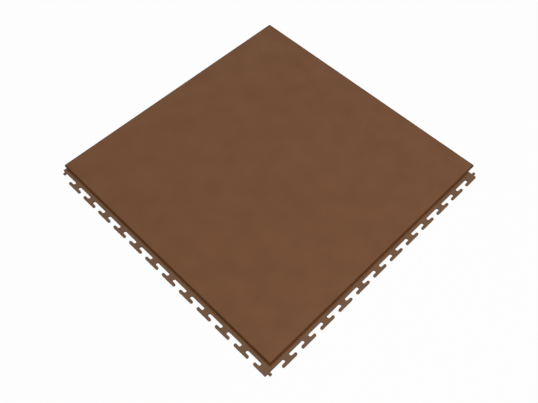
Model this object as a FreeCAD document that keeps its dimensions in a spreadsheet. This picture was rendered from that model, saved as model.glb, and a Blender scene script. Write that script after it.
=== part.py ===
import FreeCAD, Part
import os
import Sketcher

# One square floor tile with a hidden interlock, moulded as a single piece.
# The top plate is a full square. Along the sides that face -X and -Y a thinner flange stands out from
# under it and ends in a row of T-shaped lugs. Along the sides that face +X and +Y the plate overhangs,
# and T-shaped sockets in the lower layer take the lugs of the next tiles, which lie one tile side away.
# The origin is the centre of the square plate, on the floor. +Z points up through the tile.

doc = FreeCAD.newDocument("HiddenInterlockTile")
sheet = doc.addObject("Spreadsheet::Sheet", "Sizes")

DRIVING_SIZES = [
    ("tile_side", 520.7),
    ("tile_thickness", 5.0),
    ("corner_radius", 2.7),
    ("top_edge_radius", 2.0),
    ("flange_thickness", 2.4),
    ("lift_clearance", 0.1),
    ("fit_clearance", 0.25),
    ("flange_width", 6.7),
    ("lug_pitch", 42.19),
    ("neck_width", 11.4),
    ("neck_length", 5.2),
    ("head_width", 31.0),
    ("head_depth", 5.2),
    ("first_lug_along_x", 26.9),
    ("first_lug_along_y", 4.9),
    ("end_block_radius", 3.0),
    ("front_block_radius", 0.8),
    ("key_tip_radius", 1.0),
    ("cell_pitch", 112.0),
    ("rib_width", 8.0),
    ("recess_depth", 0.8),
    ("least_rim_width", 12.0),
]
for row_number, (alias, size) in enumerate(DRIVING_SIZES, start=1):
    sheet.set(f"A{row_number}", alias.replace("_", " "))
    sheet.set(f"B{row_number}", str(size))
    sheet.setAlias(f"B{row_number}", alias)
doc.recompute()

# Distances from the tile's centre. The ones named NEXT belong to the next tile's flange and lugs, which
# reach in under this tile's overhang.
HALF = "Sizes.tile_side / 2"
FLANGE_EDGE = f"({HALF} + Sizes.flange_width)"
HEADS_START = f"({FLANGE_EDGE} + Sizes.neck_length)"
NEXT_FLANGE_EDGE = f"({HALF} - Sizes.flange_width)"
NEXT_HEADS_START = f"({NEXT_FLANGE_EDGE} - Sizes.neck_length)"
NEXT_LUG_TIPS = f"({NEXT_HEADS_START} - Sizes.head_depth)"
LAYER_EDGE = f"({NEXT_FLANGE_EDGE} - Sizes.fit_clearance)"
LAYER_END = f"({NEXT_LUG_TIPS} - Sizes.fit_clearance)"
LAYER_TOP = "(Sizes.flange_thickness + Sizes.lift_clearance)"
ROOT_MARGIN = "Sizes.neck_length / 10"
HALF_ROUND = "half round"

# The row along X is on the side that faces -Y, and the row along Y on the side that faces -X. The last
# lug along X and the first lug along Y run into a corner block, and the other lugs are whole.
FIRST_X = f"(Sizes.first_lug_along_x - {HALF})"
WHOLE_X = f"floor(({LAYER_END} - {FIRST_X} - Sizes.neck_width / 2) / Sizes.lug_pitch)"
LAST_X = f"({FIRST_X} + {WHOLE_X} * Sizes.lug_pitch)"
FIRST_Y = f"(Sizes.first_lug_along_y - {HALF})"
WHOLE_Y = f"floor(({LAYER_END} - {FIRST_Y} - Sizes.head_width / 2) / Sizes.lug_pitch)"
SECOND_Y = f"({FIRST_Y} + Sizes.lug_pitch)"


def number(expression):
    """The present value of an expression on the sheet."""
    return float(sheet.evalExpression(expression))


def origin_feature(body, role):
    return next(feature for feature in body.Origin.OriginFeatures if feature.Role == role)


def add_outline(body, name, corners, along="X", height="0"):
    """A closed sketch outline of straight stretches along X and Y.

    Each corner is (place along the row, place across it, shape), all as expressions. The shape is None at
    a sharp corner, a radius at a rounded one, and HALF_ROUND where a semicircle leads to the next corner.
    A row along Y has its along axis on Y.
    """
    sketch = body.newObject("Sketcher::SketchObject", name)
    sketch.AttachmentSupport = [(origin_feature(body, "XY_Plane"), "")]
    sketch.MapMode = "FlatFace"
    sketch.setExpression("AttachmentOffset.Base.z", height)

    def constrain(kind, *target):
        return sketch.addConstraint(Sketcher.Constraint(kind, *target))

    def bind(kind, *target):
        """A dimension whose last value is an expression."""
        index = constrain(kind, *target[:-1], number(target[-1]))
        sketch.setExpression(f"Constraints[{index}]", target[-1])

    def add_arc(centre, radius, entry, leave, left_turn):
        """An arc from entry to leave, as (geometry, its first point, its last point)."""
        circle = Part.Circle(centre, FreeCAD.Vector(0, 0, 1), radius)
        start, end = (entry, leave) if left_turn else (leave, entry)
        curve = Part.ArcOfCircle(circle, circle.parameter(start), circle.parameter(end))
        return (sketch.addGeometry(curve), 1, 2) if left_turn else (sketch.addGeometry(curve), 2, 1)

    places = [corner[:2] if along == "X" else corner[1::-1] for corner in corners]
    shapes = [corner[2] for corner in corners]
    points = [FreeCAD.Vector(number(x), number(y), 0) for x, y in places]
    radii = [number(shape) if shape and shape != HALF_ROUND else 0.0 for shape in shapes]
    steps = [points[(i + 1) % len(points)] - points[i] for i in range(len(points))]

    # Each stretch is (geometry, its first point, its last point), and a rounded corner adds an arc.
    stretches = []
    for i, step in enumerate(steps):
        after = (i + 1) % len(points)
        if radii[i]:
            before = FreeCAD.Vector(steps[i - 1]).normalize()
            ahead = FreeCAD.Vector(step).normalize()
            entry, leave = points[i] - before * radii[i], points[i] + ahead * radii[i]
            left_turn = before.cross(ahead).z > 0
            stretches.append(add_arc(entry + ahead * radii[i], radii[i], entry, leave, left_turn))
            bind("Radius", stretches[-1][0], shapes[i])
        level = abs(step.x) > abs(step.y)
        if shapes[i] == HALF_ROUND:
            left_turn = steps[i - 1].cross(step).z > 0
            centre = (points[i] + points[after]) / 2
            stretches.append(add_arc(centre, step.Length / 2, points[i], points[after], left_turn))
            shared = 1 if level else 0
            bind("DistanceY" if level else "DistanceX", stretches[-1][0], 3, places[i][shared])
        else:
            ahead = FreeCAD.Vector(step).normalize()
            start, end = points[i] + ahead * radii[i], points[after] - ahead * radii[after]
            line = sketch.addGeometry(Part.LineSegment(start, end))
            constrain("Horizontal" if level else "Vertical", line)
            bind("DistanceY" if level else "DistanceX", line, 1, places[i][1 if level else 0])
            stretches.append((line, 1, 2))
    curved = [isinstance(sketch.Geometry[stretch[0]], Part.ArcOfCircle) for stretch in stretches]
    for i, (geometry, first, last) in enumerate(stretches):
        previous = stretches[i - 1]
        kind = "Tangent" if curved[i] or curved[i - 1] else "Coincident"
        constrain(kind, previous[0], previous[2], geometry, first)
    return sketch


def rectangle(x_low, y_low, x_high, y_high):
    """The four sharp corners of a rectangle."""
    return [(x_low, y_low, None), (x_high, y_low, None), (x_high, y_high, None), (x_low, y_high, None)]


def pad(body, name, corners, thickness, along="X", height="0"):
    """A slab raised on an outline."""
    feature = body.newObject("PartDesign::Pad", name)
    feature.Profile = add_outline(body, name + "Outline", corners, along, height)
    feature.setExpression("Length", thickness)
    return feature


def pocket(body, name, corners, depth, along="X"):
    """A pocket cut upwards from the floor plane."""
    feature = body.newObject("PartDesign::Pocket", name)
    feature.Profile = add_outline(body, name + "Outline", corners, along)
    feature.Reversed = True
    feature.setExpression("Length", depth)
    return feature


def repeat(body, feature, axis_role, spacing, copies):
    """A row of a feature along an axis of the body."""
    row = body.newObject("PartDesign::LinearPattern", feature.Name + "Row")
    row.Originals = [feature]
    row.Direction = (origin_feature(body, axis_role), [""])
    row.setExpression("Occurrences", copies)
    row.setExpression("Length", f"{spacing} * ({copies} - 1)")
    body.Tip = row
    doc.recompute()
    return row


def half_lug(centre, side, base, clearance=None):
    """The corners of one half of a T-shaped lug, from its root to its tip.

    side is + or -, the way that this half points along the row. base is the flange's straight edge, which
    the neck stands on. With a clearance it is half of a socket, which is that much larger on every side
    and has square ends, so that it takes the round end of a lug's head.
    """
    spare = clearance or "0"
    neck_round = f"{centre} {side} (Sizes.neck_width + Sizes.neck_length) / 2"
    head_round = f"{centre} {side} (Sizes.head_width - Sizes.head_depth) / 2"
    head_end = f"{centre} {side} (Sizes.head_width / 2 + {spare})"
    root = f"{neck_round} {side} {ROOT_MARGIN}"
    mouth = f"{base} - {spare}"
    heads = f"{base} - Sizes.neck_length + {spare}"
    tips = f"{base} - Sizes.neck_length - Sizes.head_depth - {spare}"
    end, end_shape = (head_end, None) if clearance else (head_round, HALF_ROUND)
    return [
        (root, f"{base} + {ROOT_MARGIN}", None),
        (root, mouth, None),
        (neck_round, mouth, HALF_ROUND),
        (neck_round, heads, None),
        (end, heads, end_shape),
        (end, tips, None),
    ]


def whole_lug(centre, base, clearance=None):
    """A T-shaped lug with rounded ends, or the socket for it."""
    mirrored = half_lug(centre, "+", base, clearance)[::-1]
    shapes = [corner[2] for corner in mirrored[1:]] + [None]
    other_half = [(*corner[:2], shape) for corner, shape in zip(mirrored, shapes)]
    return half_lug(centre, "-", base, clearance) + other_half


def end_lug(centre, side, end, radius, base, clearance=None):
    """Half a lug whose other half is a block that runs to the end of the row, or the socket for it."""
    spare = clearance or "0"
    other = "-" if side == "+" else "+"
    block_end = f"{end} {other} {spare}"
    tips = f"{base} - Sizes.neck_length - Sizes.head_depth - {spare}"
    return half_lug(centre, side, base, clearance) + [
        (block_end, tips, f"{radius} + {spare}"),
        (block_end, f"{base} + {ROOT_MARGIN}", None),
    ]


def key(low, high, root, tip):
    """A small square key with a rounded tip, from its root to its tip across the row."""
    radius = "Sizes.key_tip_radius"
    return [(low, root, None), (low, tip, radius), (high, tip, radius), (high, root, None)]


def edges_where(feature, wanted):
    """Names of the edges of a feature's shape that pass a test on their bounding box."""
    boxes = [edge.BoundBox for edge in feature.Shape.Edges]
    return [f"Edge{i}" for i, box in enumerate(boxes, start=1) if wanted(box)]


def fillet(body, name, feature, wanted, radius):
    doc.recompute()
    rounding = body.newObject("PartDesign::Fillet", name)
    rounding.Base = (feature, edges_where(feature, wanted))
    rounding.setExpression("Radius", radius)
    return rounding


tile = doc.addObject("PartDesign::Body", "FloorTile")
tile.Label = "floor_tile"
NEAR = 1e-6

# The square top plate with its rounded corners and upper edge.
plate = pad(
    tile, "TopPlate", rectangle(f"-{HALF}", f"-{HALF}", HALF, HALF),
    f"Sizes.tile_thickness - {LAYER_TOP}", height=LAYER_TOP,
)
corners_rounded = fillet(
    tile, "CornerRounding", plate,
    lambda box: box.XLength < NEAR and box.YLength < NEAR, "Sizes.corner_radius",
)
top_level = number("Sizes.tile_thickness")
fillet(
    tile, "TopEdgeRounding", corners_rounded,
    lambda box: abs(box.ZMin - top_level) < NEAR, "Sizes.top_edge_radius",
)

# The lower layer, set back under the overhang by the width of the next tile's flange.
pad(tile, "LowerLayer", rectangle(f"-{HALF}", f"-{HALF}", LAYER_EDGE, LAYER_EDGE), LAYER_TOP)
# Shallow square cells in the underside, an even number each way, leave ribs that cross at the middle.
CELLS = f"(2 * floor(({LAYER_END} - Sizes.least_rim_width) / Sizes.cell_pitch))"
CELL = "(Sizes.cell_pitch - Sizes.rib_width)"
CELLS_START = f"((Sizes.rib_width - {CELLS} * Sizes.cell_pitch) / 2)"
for row in range(int(number(CELLS))):
    low = f"({CELLS_START} + {row} * Sizes.cell_pitch)"
    cell = rectangle(CELLS_START, low, f"{CELLS_START} + {CELL}", f"{low} + {CELL}")
    recess = pocket(tile, f"Recess{row + 1}", cell, "Sizes.recess_depth")
    repeat(tile, recess, "X_Axis", "Sizes.cell_pitch", CELLS)

# The thinner flange outside the plate, along the two lug sides.
flange_corners = [
    (f"-{FLANGE_EDGE}", f"-{FLANGE_EDGE}", None),
    (LAYER_END, f"-{FLANGE_EDGE}", None),
    (LAYER_END, f"-{HALF} + {ROOT_MARGIN}", None),
    (f"-{HALF} + {ROOT_MARGIN}", f"-{HALF} + {ROOT_MARGIN}", None),
    (f"-{HALF} + {ROOT_MARGIN}", LAYER_EDGE, None),
    (f"-{FLANGE_EDGE}", LAYER_EDGE, None),
]
pad(tile, "Flange", flange_corners, "Sizes.flange_thickness")

# The lugs stand on the flange's straight edges, and the end ones run into the corner blocks.
LUG_BASE = f"-{FLANGE_EDGE}"
thickness = "Sizes.flange_thickness"
lug = pad(tile, "LugAlongX", whole_lug(FIRST_X, LUG_BASE), thickness)
repeat(tile, lug, "X_Axis", "Sizes.lug_pitch", WHOLE_X)
end_corners = end_lug(LAST_X, "-", LAYER_END, "Sizes.end_block_radius", LUG_BASE)
pad(tile, "EndBlockAlongX", end_corners, thickness)
lug = pad(tile, "LugAlongY", whole_lug(SECOND_Y, LUG_BASE), thickness, along="Y")
repeat(tile, lug, "Y_Axis", "Sizes.lug_pitch", WHOLE_Y)
front_corners = end_lug(FIRST_Y, "+", f"-{FLANGE_EDGE}", "Sizes.front_block_radius", LUG_BASE)
pad(tile, "FrontBlockAlongY", front_corners, thickness, along="Y")

# Three square keys fill the corner where four tiles meet, each in a cell of its own.
KEY_IN, KEY_OUT = f"{FLANGE_EDGE} + Sizes.fit_clearance", f"{HEADS_START} - Sizes.fit_clearance"
FAR_IN, FAR_OUT = f"{NEXT_LUG_TIPS} + Sizes.fit_clearance", f"{NEXT_HEADS_START} - Sizes.fit_clearance"
front_root = f"-{FLANGE_EDGE} + {ROOT_MARGIN}"
pad(tile, "FrontKey", key(f"-({KEY_OUT})", f"-({KEY_IN})", front_root, f"-({KEY_OUT})"), thickness)
pad(tile, "LeftKey", key(FAR_IN, FAR_OUT, front_root, f"-({KEY_OUT})"), thickness, along="Y")
end_root = f"{LAYER_END} - {ROOT_MARGIN}"
pad(tile, "EndKey", key(f"-({KEY_OUT})", f"-({KEY_IN})", end_root, FAR_OUT), thickness, along="Y")

# The sockets are the lugs' outline with a clearance all round and square ends.
gap = "Sizes.fit_clearance"
socket = pocket(tile, "SocketAlongX", whole_lug(FIRST_X, NEXT_FLANGE_EDGE, gap), LAYER_TOP)
repeat(tile, socket, "X_Axis", "Sizes.lug_pitch", WHOLE_X)
end_corners = end_lug(LAST_X, "-", LAYER_END, "Sizes.end_block_radius", NEXT_FLANGE_EDGE, gap)
pocket(tile, "EndSocketAlongX", end_corners, LAYER_TOP)
socket = pocket(tile, "SocketAlongY", whole_lug(SECOND_Y, NEXT_FLANGE_EDGE, gap), LAYER_TOP, along="Y")
repeat(tile, socket, "Y_Axis", "Sizes.lug_pitch", WHOLE_Y)
front_corners = end_lug(
    FIRST_Y, "+", f"-{FLANGE_EDGE}", "Sizes.front_block_radius", NEXT_FLANGE_EDGE, gap
)
pocket(tile, "FrontSocketAlongY", front_corners, LAYER_TOP, along="Y")

# Room for the next tiles' keys, round the finger that stays at the back corner.
key_room = [
    (NEXT_LUG_TIPS, NEXT_HEADS_START, None),
    (NEXT_HEADS_START, NEXT_HEADS_START, None),
    (NEXT_HEADS_START, NEXT_LUG_TIPS, None),
    (HALF, NEXT_LUG_TIPS, None),
    (HALF, HALF, None),
    (NEXT_LUG_TIPS, HALF, None),
]
pocket(tile, "KeyRoom", key_room, LAYER_TOP)

doc.recompute()
for item in doc.Objects:
    if "Invalid" in item.State or "Error" in item.State:
        raise RuntimeError(f"{item.Name} did not recompute: {item.State}")
shape = tile.Shape
if shape.isNull() or not shape.isValid() or len(shape.Solids) != 1:
    raise RuntimeError("the tile is not one valid solid")

os.makedirs("parts", exist_ok=True)
shape.exportStep(f"parts/{tile.Label}.step")
print(f"{tile.Label}: {shape.Volume / 1000:.1f} cm3, {len(shape.Faces)} faces, box {shape.BoundBox}")
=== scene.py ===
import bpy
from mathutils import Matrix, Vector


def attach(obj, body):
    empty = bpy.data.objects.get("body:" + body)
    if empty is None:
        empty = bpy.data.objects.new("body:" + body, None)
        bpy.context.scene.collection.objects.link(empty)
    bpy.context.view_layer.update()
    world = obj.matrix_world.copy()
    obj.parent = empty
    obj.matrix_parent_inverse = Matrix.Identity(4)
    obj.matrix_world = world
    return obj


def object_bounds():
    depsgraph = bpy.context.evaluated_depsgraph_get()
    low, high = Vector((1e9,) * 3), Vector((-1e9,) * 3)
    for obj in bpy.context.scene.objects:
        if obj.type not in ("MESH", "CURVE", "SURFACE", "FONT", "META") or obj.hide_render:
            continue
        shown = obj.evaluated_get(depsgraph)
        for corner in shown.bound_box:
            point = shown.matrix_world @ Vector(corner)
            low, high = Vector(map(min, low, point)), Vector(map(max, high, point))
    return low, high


bl_info = {
    "name": "Hidden interlock floor tile",
    "version": (1, 0, 0),
    "blender": (4, 5, 0),
    "location": "View3D > Sidebar > Floor Tile",
    "description": "Moulded finish, underside studs and nibs of a floor tile, in a pale studio",
    "category": "Object",
}

import math

import bpy
from bpy.props import FloatProperty, FloatVectorProperty, IntProperty, PointerProperty
from bpy.types import Operator, Panel, PropertyGroup
from mathutils import Matrix, Vector

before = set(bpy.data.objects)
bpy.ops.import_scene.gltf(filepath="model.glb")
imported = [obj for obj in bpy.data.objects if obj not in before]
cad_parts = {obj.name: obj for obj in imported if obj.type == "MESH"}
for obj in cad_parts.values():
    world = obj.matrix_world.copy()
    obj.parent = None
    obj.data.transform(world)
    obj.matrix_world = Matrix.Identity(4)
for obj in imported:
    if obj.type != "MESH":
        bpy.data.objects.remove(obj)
CAD_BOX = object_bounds()

# The tile is one moulding that lies on the plane z = 0. Its lug tips reach the lowest corner of the
# box, and its square plate, which is centred on the origin, reaches the highest.
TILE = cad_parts["floor_tile"]
BODY = "root"
PLATE_HALF = CAD_BOX[1].x
LUG_TIPS = CAD_BOX[0].x
TILE_MIDDLE = (0.0, 0.0, 0.0)


class Wire:
    """An output of a node, which takes part in plain arithmetic."""

    def __init__(self, sheet, socket):
        self.sheet = sheet
        self.socket = socket

    def __add__(self, other):
        return self.sheet.maths("ADD", self, other)

    __radd__ = __add__

    def __sub__(self, other):
        return self.sheet.maths("SUBTRACT", self, other)

    def __rsub__(self, other):
        return self.sheet.maths("SUBTRACT", other, self)

    def __mul__(self, other):
        return self.sheet.maths("MULTIPLY", self, other)

    __rmul__ = __mul__


class NodeSheet:
    """A node tree that is written as expressions."""

    def __init__(self, tree):
        self.tree = tree
        tree.nodes.clear()

    def add(self, kind, settings=None, values=None, output=0):
        """One output of a new node, given its settings, then a value or a link for each socket."""
        node = self.tree.nodes.new(kind)
        for name, setting in (settings or {}).items():
            setattr(node, name, setting)
        for key, value in (values or {}).items():
            if isinstance(value, Wire):
                self.tree.links.new(value.socket, node.inputs[key])
            else:
                node.inputs[key].default_value = value
        return Wire(self, node.outputs[output]) if node.outputs else None

    def maths(self, operation, *operands):
        return self.add("ShaderNodeMath", {"operation": operation}, dict(enumerate(operands)))

    def sibling(self, wire, output):
        """Another output of the node that a wire comes from."""
        return Wire(self, wire.socket.node.outputs[output])

    def ramp(self, value, low, high, start=0.0, end=1.0):
        """A smooth step from start to end while the value goes from low to high."""
        limits = {"Value": value, "From Min": low, "From Max": high, "To Min": start, "To Max": end}
        return self.add("ShaderNodeMapRange", {"interpolation_type": "SMOOTHSTEP"}, limits)

    def mix_colours(self, factor, first, second):
        """The first colour at factor 0 and the second at factor 1."""
        return self.add(
            "ShaderNodeMix", {"data_type": "RGBA"}, {0: factor, 6: first, 7: second}, output=2
        )

    def scale_vector(self, vector, factor):
        values = {0: vector, "Scale": factor}
        return self.add("ShaderNodeVectorMath", {"operation": "SCALE"}, values)

    def add_vectors(self, first, second):
        return self.add("ShaderNodeVectorMath", {"operation": "ADD"}, {0: first, 1: second})


def opaque(colour):
    """A colour property as a node's four numbers."""
    return (*colour, 1.0)


class PvcSettings(PropertyGroup):
    """The moulded plastic."""

    colour: FloatVectorProperty(
        name="Plate colour", description="Diffuse colour of the plate's level faces",
        subtype="COLOR", size=3, min=0.0, max=1.0, default=(0.1325, 0.0446, 0.007),
    )
    roughness: FloatProperty(
        name="Plate roughness", description="Roughness of the grained plate", subtype="FACTOR",
        min=0.0, max=1.0, default=0.65,
    )
    # The foot's saturated colour is partly painted shade beside the plate's wall.
    foot_colour: FloatVectorProperty(
        name="Foot colour", description="Diffuse colour of the flange beside the plate's wall",
        subtype="COLOR", size=3, min=0.0, max=1.0, default=(0.183, 0.065, 0.0123),
    )
    # The greyer tone of the flange and lugs is partly painted sheen.
    flange_colour: FloatVectorProperty(
        name="Flange colour", description="Diffuse colour of the flange's outer part and the lugs",
        subtype="COLOR", size=3, min=0.0, max=1.0, default=(0.1275, 0.057, 0.021),
    )
    flange_roughness: FloatProperty(
        name="Flange roughness", description="Roughness of the flange's outer part and the lugs",
        subtype="FACTOR", min=0.0, max=1.0, default=0.6,
    )
    foot_roughness: FloatProperty(
        name="Foot roughness", description="Roughness of the flange beside the plate's wall",
        subtype="FACTOR", min=0.0, max=1.0, default=1.0,
    )
    foot_reach: FloatProperty(
        name="Foot reach", description="Width over which the foot changes into the outer part",
        unit="LENGTH", min=0.0001, max=0.02, default=0.004,
    )
    # The margin is given painted shade, the darker colour below, and a rougher surface.
    margin_width: FloatProperty(
        name="Margin width", description="Width of the duller margin along the plate's edge",
        unit="LENGTH", min=0.0, max=0.01, default=0.0026,
    )
    # Painted shade: the darker colour that stands for the shade on the margin and the upright
    # faces.
    painted_shade_colour: FloatVectorProperty(
        name="Painted shade colour", description="Diffuse colour of the margin and the upright faces",
        subtype="COLOR", size=3, min=0.0, max=1.0, default=(0.0925, 0.0275, 0.0008),
    )
    dull_roughness: FloatProperty(
        name="Dull roughness", description="How much rougher the margin and the upright faces are",
        subtype="FACTOR", min=0.0, max=1.0, default=0.3,
    )
    reflection: FloatProperty(
        name="Reflection", description="Strength of the surface's reflection; 0.5 is plain plastic",
        subtype="FACTOR", min=0.0, max=1.0, default=0.6,
    )
    grain_size: FloatProperty(
        name="Grain size", description="Width of one pebble of the grain", unit="LENGTH",
        min=0.0002, max=0.01, default=0.0016,
    )
    grain_depth: FloatProperty(
        name="Grain depth", description="Depth of the creases between the pebbles", unit="LENGTH",
        min=0.0, max=0.001, default=0.00005,
    )
    mottle_size: FloatProperty(
        name="Mottle size", description="Width of the faint blotches in the colour", unit="LENGTH",
        min=0.005, max=0.2, default=0.04,
    )
    mottle: FloatProperty(
        name="Mottle", description="How far the blotches lighten and darken the colour",
        subtype="FACTOR", min=0.0, max=0.5, default=0.125,
    )
    gloss_drift: FloatProperty(
        name="Gloss drift", description="How far the blotches change the roughness",
        subtype="FACTOR", min=0.0, max=0.5, default=0.2,
    )
    stipple_drift: FloatProperty(
        name="Stipple drift", description="How far the fine stipple changes the roughness",
        subtype="FACTOR", min=0.0, max=0.5, default=0.06,
    )


class StudSettings(PropertyGroup):
    """The studs in the cells of the underside."""

    cells_across: IntProperty(
        name="Cells across", description="Cells between the ribs, each way", min=1, default=4
    )
    cell_pitch: FloatProperty(
        name="Cell pitch", description="From one cell to the next", unit="LENGTH", default=0.112
    )
    recess_depth: FloatProperty(
        name="Recess depth", description="Depth of a cell, and height of a stud", unit="LENGTH",
        default=0.0008,
    )
    studs_across: IntProperty(
        name="Studs across", description="Studs in a cell, each way", min=1, default=5
    )
    stud_pitch: FloatProperty(
        name="Stud pitch", description="From one stud to the next", unit="LENGTH", default=0.02
    )
    root_radius: FloatProperty(
        name="Root radius", description="Radius where a stud meets the cell", unit="LENGTH",
        default=0.005,
    )
    tip_radius: FloatProperty(
        name="Tip radius", description="Radius of a stud on the floor", unit="LENGTH",
        default=0.0044,
    )
    sides: IntProperty(name="Sides", description="Sides of a stud", min=6, default=20)


class NibSettings(PropertyGroup):
    """The small nibs at the middle of each lug's outer edge, on one side of the tile."""

    count: IntProperty(name="Nibs", description="One for each lug of the row", min=1, default=12)
    pitch: FloatProperty(
        name="Lug pitch", description="From one lug to the next", unit="LENGTH", default=0.04219
    )
    first: FloatProperty(
        name="First nib", description="From the plate's front corner to the first nib",
        unit="LENGTH", default=0.0049,
    )
    radius: FloatProperty(
        name="Nib radius", description="Radius of a nib's rounded face", unit="LENGTH",
        default=0.0022,
    )
    proud: FloatProperty(
        name="Stands proud", description="How far a nib stands out of the lug", unit="LENGTH",
        default=0.00025,
    )
    height: FloatProperty(
        name="Nib height", description="Height of a nib", unit="LENGTH", default=0.002
    )
    middle: FloatProperty(
        name="Nib middle", description="Height of a nib's middle above the floor", unit="LENGTH",
        default=0.0012,
    )


class StudioSettings(PropertyGroup):
    """The floor, the lamps and the camera."""

    floor_side: FloatProperty(
        name="Floor side", description="Side of the square floor", unit="LENGTH", default=24.0
    )
    floor_gap: FloatProperty(
        name="Floor gap", description="From the floor up to the tile's underside", unit="LENGTH",
        default=0.0002,
    )
    floor_colour: FloatVectorProperty(
        name="Floor colour", description="Colour of the pale floor", subtype="COLOR", size=3,
        min=0.0, max=1.0, default=(0.6, 0.6, 0.6),
    )
    backdrop_share: FloatProperty(
        name="Backdrop share", description="How far the floor is seen as the plain white backdrop",
        subtype="FACTOR", min=0.0, max=1.0, default=0.97,
    )
    sky_level: FloatProperty(
        name="Surrounding light", description="Level of the even light from all round", min=0.0,
        default=0.298,
    )
    back_level: FloatProperty(
        name="Back light", description="Level of the wide soft light from behind the tile", min=0.0,
        default=0.285,
    )
    back_rise: FloatProperty(
        name="Back light height", description="Angle of the back light above the horizon",
        unit="ROTATION", default=math.radians(25.0),
    )
    back_heading: FloatProperty(
        name="Back light heading", description="Angle from +X towards +Y that it comes from",
        unit="ROTATION", default=math.radians(45.0),
    )
    back_spread: FloatProperty(
        name="Back light spread", description="Angle across the back light", unit="ROTATION",
        default=math.radians(50.0),
    )
    fill_power: FloatProperty(
        name="Fill power", description="Power of the soft box above the front of the tile",
        unit="POWER", default=8.0,
    )
    fill_side: FloatProperty(
        name="Fill side", description="Side of the square soft box", unit="LENGTH", default=1.2
    )
    fill_place: FloatVectorProperty(
        name="Fill place", description="Middle of the soft box", subtype="XYZ", unit="LENGTH",
        size=3, default=(-0.1, -0.75, 1.3),
    )
    camera_place: FloatVectorProperty(
        name="Camera place", description="Where the camera stands", subtype="XYZ", unit="LENGTH",
        size=3, default=(-0.49361, -0.4908, 0.94631),
    )
    camera_aim: FloatVectorProperty(
        name="Camera aim", description="Point that the camera looks at", subtype="XYZ",
        unit="LENGTH", size=3, default=(-0.04884, -0.06161, 0.005),
    )
    camera_roll: FloatProperty(
        name="Camera roll", description="Turn of the camera about its line of sight",
        unit="ROTATION", default=math.radians(0.8395),
    )
    lens: FloatProperty(
        name="Lens", description="Focal length in millimetres on a 36 mm sensor", default=43.607
    )
    shift: FloatProperty(
        name="Lens shift", description="Sideways shift, as a share of the frame's width",
        default=-0.01135,
    )


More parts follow.
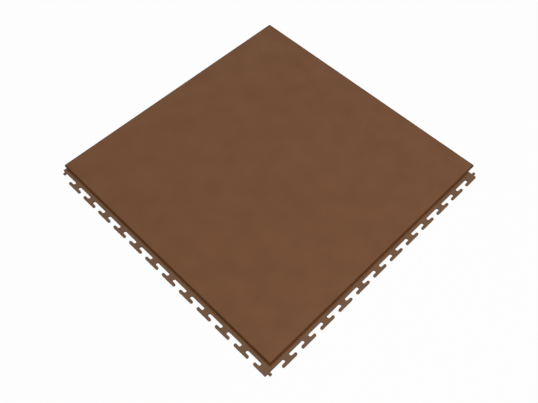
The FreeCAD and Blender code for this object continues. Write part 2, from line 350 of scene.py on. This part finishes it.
def moulded_pvc(pvc):
    """Satin plastic: pebbled grain on the plate, a smoother skin on the flange and lugs, and
    painted shade on the plate's margin and the upright faces.
    """
    material = bpy.data.materials.new("moulded_pvc")
    material.use_nodes = True
    sheet = NodeSheet(material.node_tree)
    place = sheet.add("ShaderNodeTexCoord", output="Object")
    x = sheet.add("ShaderNodeSeparateXYZ", values={"Vector": place}, output="X")
    y = sheet.sibling(x, "Y")

    skin_blend = 0.0004
    beyond_plate = sheet.maths("MAXIMUM", 0.0 - x, 0.0 - y) - PLATE_HALF
    on_flange = sheet.ramp(beyond_plate, 0.0, skin_blend)

    # The grain is a field of uneven pebbles with a fine stipple over it.
    sway_scale, sway = 0.4 / pvc.grain_size, 0.6 * pvc.grain_size
    unevenness, crease_width, stipple_scale = 0.9, 0.22, 4.0 / pvc.grain_size
    wander = sheet.add(
        "ShaderNodeTexNoise", values={"Vector": place, "Scale": sway_scale, "Detail": 1.0},
        output="Color",
    )
    bent_place = sheet.add_vectors(place, sheet.scale_vector(wander, sway))
    crease_distance = sheet.add(
        "ShaderNodeTexVoronoi", {"feature": "DISTANCE_TO_EDGE"},
        {"Vector": bent_place, "Scale": 1.0 / pvc.grain_size, "Randomness": unevenness},
    )
    pebbles = sheet.ramp(crease_distance, 0.0, crease_width)
    stipple = sheet.add(
        "ShaderNodeTexNoise", values={"Vector": place, "Scale": stipple_scale, "Detail": 2.0}
    )
    stipple_share, flange_grain = 0.35, 0.25
    grain = (pebbles + stipple * stipple_share) * (1.0 - on_flange * (1.0 - flange_grain))

    # The colour drifts in faint blotches, and the creases are a little darker as painted shade.
    middle, crease_shade, blotch_scale = 0.5, 0.03, 1.0 / pvc.mottle_size
    blotches = sheet.add(
        "ShaderNodeTexNoise", values={"Vector": place, "Scale": blotch_scale, "Detail": 4.0}
    )
    drift = 1.0 + (blotches - middle) * (2.0 * pvc.mottle) - (1.0 - pebbles) * crease_shade

    # The flange goes from a saturated, rough foot beside the plate's wall to a slightly greyer
    # satin outside; the colour change is partly painted shade at the foot and partly painted sheen
    # outside.
    outwards = sheet.ramp(beyond_plate, 0.0, pvc.foot_reach)
    flange_colour = sheet.mix_colours(outwards, opaque(pvc.foot_colour), opaque(pvc.flange_colour))
    colour = sheet.mix_colours(on_flange, opaque(pvc.colour), flange_colour)
    flange_roughness = pvc.foot_roughness + outwards * (pvc.flange_roughness - pvc.foot_roughness)

    # The plate's rounded margin and the upright faces get painted shade, a darker colour that
    # stands for the shade that falls there, and a rougher surface.
    across = sheet.maths("MAXIMUM", sheet.maths("ABSOLUTE", x), sheet.maths("ABSOLUTE", y))
    margin_full, margin_end = pvc.margin_width - skin_blend / 2, pvc.margin_width + skin_blend / 2
    margin = sheet.ramp(PLATE_HALF - across, margin_full, margin_end, 1.0, 0.0)
    facing = sheet.add("ShaderNodeSeparateXYZ", values={"Vector": sheet.sibling(place, "Normal")})
    steep, level = 0.97, 0.995
    rise = sheet.maths("ABSOLUTE", sheet.sibling(facing, "Z"))
    sloping = sheet.ramp(rise, steep, level, 1.0, 0.0)
    shade_and_matte = sheet.maths("MAXIMUM", margin * (1.0 - on_flange), sloping)
    skin = sheet.mix_colours(shade_and_matte, colour, opaque(pvc.painted_shade_colour))
    roughness = (
        pvc.roughness + on_flange * (flange_roughness - pvc.roughness) + shade_and_matte * pvc.dull_roughness
        + (stipple - middle) * pvc.stipple_drift - (blotches - middle) * pvc.gloss_drift
    )

    bump = sheet.add(
        "ShaderNodeBump", values={"Strength": 1.0, "Distance": pvc.grain_depth, "Height": grain}
    )
    surface = sheet.add("ShaderNodeBsdfPrincipled", values={
        "Base Color": sheet.scale_vector(skin, drift),
        "Roughness": roughness,
        "Specular IOR Level": pvc.reflection,
        "Normal": bump,
    })
    sheet.add("ShaderNodeOutputMaterial", values={"Surface": surface})
    return material


def pale_seen_rays(sheet):
    """1 for the rays that meet the plain white backdrop, and 0 for those that carry light."""
    camera = sheet.add("ShaderNodeLightPath", output="Is Camera Ray")
    glossy = sheet.sibling(camera, "Is Glossy Ray")
    through = sheet.sibling(camera, "Is Transmission Ray")
    return sheet.maths("MAXIMUM", sheet.maths("MAXIMUM", camera, glossy), through)


def floor_paint(studio):
    """A pale floor that is seen as a white backdrop and keeps a trace of the tile's shadow."""
    material = bpy.data.materials.new("pale_floor")
    material.use_nodes = True
    sheet = NodeSheet(material.node_tree)
    paint = sheet.add("ShaderNodeBsdfDiffuse", values={"Color": opaque(studio.floor_colour)})
    white = sheet.add("ShaderNodeEmission", values={"Strength": 1.0})
    share = pale_seen_rays(sheet) * studio.backdrop_share
    surface = sheet.add("ShaderNodeMixShader", values={0: share, 1: paint, 2: white})
    sheet.add("ShaderNodeOutputMaterial", values={"Surface": surface})
    return material


def pale_world(studio):
    """Even light from all round, seen as white."""
    world = bpy.data.worlds.new("pale_studio")
    world.use_nodes = True
    sheet = NodeSheet(world.node_tree)
    white = (1.0, 1.0, 1.0, 1.0)
    light = sheet.add("ShaderNodeBackground", values={"Color": white, "Strength": studio.sky_level})
    seen = sheet.add("ShaderNodeBackground", values={"Color": white, "Strength": 1.0})
    surface = sheet.add("ShaderNodeMixShader", values={0: pale_seen_rays(sheet), 1: light, 2: seen})
    sheet.add("ShaderNodeOutputWorld", values={"Surface": surface})
    return world


def link_object(name, data):
    piece = bpy.data.objects.new(name, data)
    bpy.context.scene.collection.objects.link(piece)
    return piece


def look_along(place, aim, roll=0.0):
    """The pose of a lamp or camera that stands at a place and looks at a point."""
    turn = (Vector(aim) - Vector(place)).to_track_quat("-Z", "Y").to_matrix().to_4x4()
    return Matrix.Translation(place) @ turn @ Matrix.Rotation(roll, 4, "Z")


def add_back_light(studio):
    """A wide far light from low behind the tile, which the plastic doesn't mirror."""
    lamp = bpy.data.lights.new("back_light", "SUN")
    lamp.energy = studio.back_level * math.pi / math.sin(studio.back_rise)
    lamp.angle = studio.back_spread
    level_way = Vector((math.cos(studio.back_heading), math.sin(studio.back_heading), 0.0))
    place = level_way * math.cos(studio.back_rise) + Vector((0.0, 0.0, math.sin(studio.back_rise)))
    piece = link_object("back_light", lamp)
    piece.matrix_world = look_along(place, TILE_MIDDLE)
    piece.visible_glossy = False


def add_fill_box(studio):
    """A square soft box that faces the middle of the tile."""
    lamp = bpy.data.lights.new("fill_box", "AREA")
    lamp.shape = "SQUARE"
    lamp.size = studio.fill_side
    lamp.energy = studio.fill_power
    link_object("fill_box", lamp).matrix_world = look_along(studio.fill_place, TILE_MIDDLE)


def start_geometry_tree(name, inputs):
    """A geometry tree with named inputs, as (tree, sheet, the wires of its inputs by name)."""
    tree = bpy.data.node_groups.new(name, "GeometryNodeTree")
    sheet = NodeSheet(tree)
    for socket_name, kind in inputs.items():
        tree.interface.new_socket(socket_name, in_out="INPUT", socket_type=f"NodeSocket{kind}")
    tree.interface.new_socket("Geometry", in_out="OUTPUT", socket_type="NodeSocketGeometry")
    first = sheet.add("NodeGroupInput")
    return tree, sheet, {socket_name: sheet.sibling(first, socket_name) for socket_name in inputs}


def close_geometry_tree(sheet, points, shape, material):
    """Ends a tree with the shape set at each point, as one real mesh with its material."""
    copies = sheet.add("GeometryNodeInstanceOnPoints", values={"Points": points, "Instance": shape})
    real = sheet.add("GeometryNodeRealizeInstances", values={"Geometry": copies})
    normal = sheet.add("GeometryNodeInputNormal")
    facing, level = sheet.add("ShaderNodeSeparateXYZ", values={"Vector": normal}), 0.9
    on_side = sheet.maths("LESS_THAN", sheet.maths("ABSOLUTE", sheet.sibling(facing, "Z")), level)
    chosen = {"Geometry": real, "Selection": on_side}
    smooth = sheet.add("GeometryNodeSetShadeSmooth", values=chosen)
    finish = {"Geometry": smooth, "Material": material}
    painted = sheet.add("GeometryNodeSetMaterial", values=finish)
    sheet.add("NodeGroupOutput", values={"Geometry": painted})


def stud_tree():
    """Studs in rows in every cell of the underside."""
    tree, sheet, given = start_geometry_tree("underside_studs", {
        "Cells Across": "Int", "Cell Pitch": "Float", "Studs Across": "Int", "Stud Pitch": "Float",
        "Root Radius": "Float", "Tip Radius": "Float", "Height": "Float", "Sides": "Int",
        "Material": "Material",
    })

    def square_grid(count, pitch):
        span = (count - 1.0) * pitch
        sizes = {"Size X": span, "Size Y": span, "Vertices X": count, "Vertices Y": count}
        return sheet.add("GeometryNodeMeshGrid", values=sizes)

    cells = square_grid(given["Cells Across"], given["Cell Pitch"])
    field = square_grid(given["Studs Across"], given["Stud Pitch"])
    places = sheet.add("GeometryNodeInstanceOnPoints", values={"Points": cells, "Instance": field})
    real_places = sheet.add("GeometryNodeRealizeInstances", values={"Geometry": places})
    stud = sheet.add("GeometryNodeMeshCone", values={
        "Vertices": given["Sides"], "Radius Top": given["Root Radius"],
        "Radius Bottom": given["Tip Radius"], "Depth": given["Height"],
    })
    close_geometry_tree(sheet, real_places, stud, given["Material"])
    return tree


def nib_tree():
    """Small upright rounds in a row along Y."""
    tree, sheet, given = start_geometry_tree("lug_nibs", {
        "Count": "Int", "Pitch": "Float", "First": "Vector", "Radius": "Float", "Height": "Float",
        "Material": "Material",
    })
    step = sheet.add("ShaderNodeCombineXYZ", values={"Y": given["Pitch"]})
    row = sheet.add("GeometryNodeMeshLine", {"mode": "OFFSET"}, {
        "Count": given["Count"], "Start Location": given["First"], "Offset": step,
    })
    nib_sides = 32
    nib = sheet.add("GeometryNodeMeshCylinder", values={
        "Vertices": nib_sides, "Radius": given["Radius"], "Depth": given["Height"],
    })
    close_geometry_tree(sheet, row, nib, given["Material"])
    return tree


def grow(name, tree, values):
    """The piece that a geometry tree makes from the given inputs, as a plain mesh on the tile."""
    piece = link_object(name, bpy.data.meshes.new(name))
    modifier = piece.modifiers.new(name, "NODES")
    modifier.node_group = tree
    for item in tree.interface.items_tree:
        if item.in_out == "INPUT":
            modifier[item.identifier] = values[item.name]
    evaluated = piece.evaluated_get(bpy.context.evaluated_depsgraph_get())
    mesh = bpy.data.meshes.new_from_object(evaluated)
    piece.modifiers.remove(modifier)
    piece.data = mesh
    if not mesh.polygons:
        raise RuntimeError(f"{name} came out empty")
    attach(piece, BODY)
    return piece


def tile_finish():
    """The plastic that the tile was given."""
    material = bpy.data.materials.get("moulded_pvc")
    if material is None:
        raise RuntimeError("the tile has no finish yet")
    return material


class FLOORTILE_OT_finish_tile(Operator):
    """Give the tile its moulded plastic"""

    bl_idname = "floor_tile.finish_tile"
    bl_label = "Finish the Tile"

    def execute(self, context):
        material = moulded_pvc(context.scene.tile_pvc)
        TILE.data.materials.clear()
        TILE.data.materials.append(material)
        return {"FINISHED"}


class FLOORTILE_OT_add_studs(Operator):
    """Fill the cells of the underside with rows of studs"""

    bl_idname = "floor_tile.add_studs"
    bl_label = "Add the Underside Studs"

    def execute(self, context):
        studs = context.scene.tile_studs
        buried = 0.05 * studs.recess_depth
        grow("underside_studs", stud_tree(), {
            "Cells Across": studs.cells_across,
            "Cell Pitch": studs.cell_pitch,
            "Studs Across": studs.studs_across,
            "Stud Pitch": studs.stud_pitch,
            "Root Radius": studs.root_radius,
            "Tip Radius": studs.tip_radius,
            "Height": studs.recess_depth + buried,
            "Sides": studs.sides,
            "Material": tile_finish(),
        })
        return {"FINISHED"}


class FLOORTILE_OT_add_nibs(Operator):
    """Add the nibs on the outer edges of the lugs that face -X"""

    bl_idname = "floor_tile.add_nibs"
    bl_label = "Add the Lug Nibs"

    def execute(self, context):
        nibs = context.scene.tile_nibs
        first = Vector((LUG_TIPS + nibs.radius - nibs.proud, nibs.first - PLATE_HALF, nibs.middle))
        grow("lug_nibs", nib_tree(), {
            "Count": nibs.count,
            "Pitch": nibs.pitch,
            "First": first,
            "Radius": nibs.radius,
            "Height": nibs.height,
            "Material": tile_finish(),
        })
        return {"FINISHED"}


class FLOORTILE_OT_set_studio(Operator):
    """Set up the pale floor, the soft lamps and the camera"""

    bl_idname = "floor_tile.set_studio"
    bl_label = "Set the Studio"

    def execute(self, context):
        studio = context.scene.tile_studio
        scene = context.scene
        scene.world = pale_world(studio)
        scene.view_settings.view_transform = "Standard"

        half = studio.floor_side / 2
        ring = [(-half, -half), (half, -half), (half, half), (-half, half)]
        mesh = bpy.data.meshes.new("floor")
        mesh.from_pydata([(x, y, -studio.floor_gap) for x, y in ring], [], [(0, 1, 2, 3)])
        mesh.materials.append(floor_paint(studio))
        link_object("floor", mesh)

        add_back_light(studio)
        add_fill_box(studio)

        lens = bpy.data.cameras.new("camera")
        lens.lens = studio.lens
        lens.shift_x = studio.shift
        camera = link_object("camera", lens)
        camera.matrix_world = look_along(studio.camera_place, studio.camera_aim, studio.camera_roll)
        scene.camera = camera
        return {"FINISHED"}


SETTINGS = {
    "tile_pvc": PvcSettings,
    "tile_studs": StudSettings,
    "tile_nibs": NibSettings,
    "tile_studio": StudioSettings,
}
STEPS = (
    FLOORTILE_OT_finish_tile,
    FLOORTILE_OT_add_studs,
    FLOORTILE_OT_add_nibs,
    FLOORTILE_OT_set_studio,
)


class FLOORTILE_PT_main(Panel):
    """Lists the settings and steps"""

    bl_label = "Floor Tile"
    bl_idname = "FLOORTILE_PT_main"
    bl_space_type = "VIEW_3D"
    bl_region_type = "UI"
    bl_category = "Floor Tile"

    def draw(self, context):
        for (name, group), step in zip(SETTINGS.items(), STEPS):
            box = self.layout.box()
            for setting in group.__annotations__:
                box.prop(getattr(context.scene, name), setting)
            box.operator(step.bl_idname)


CLASSES = (*SETTINGS.values(), *STEPS, FLOORTILE_PT_main)


def register():
    for item in CLASSES:
        bpy.utils.register_class(item)
    for name, group in SETTINGS.items():
        setattr(bpy.types.Scene, name, PointerProperty(type=group))


def unregister():
    for name in SETTINGS:
        delattr(bpy.types.Scene, name)
    for item in reversed(CLASSES):
        bpy.utils.unregister_class(item)


def main():
    register()
    bpy.ops.floor_tile.finish_tile()
    bpy.ops.floor_tile.add_studs()
    bpy.ops.floor_tile.add_nibs()
    bpy.ops.floor_tile.set_studio()


if __name__ == "__main__":
    main()
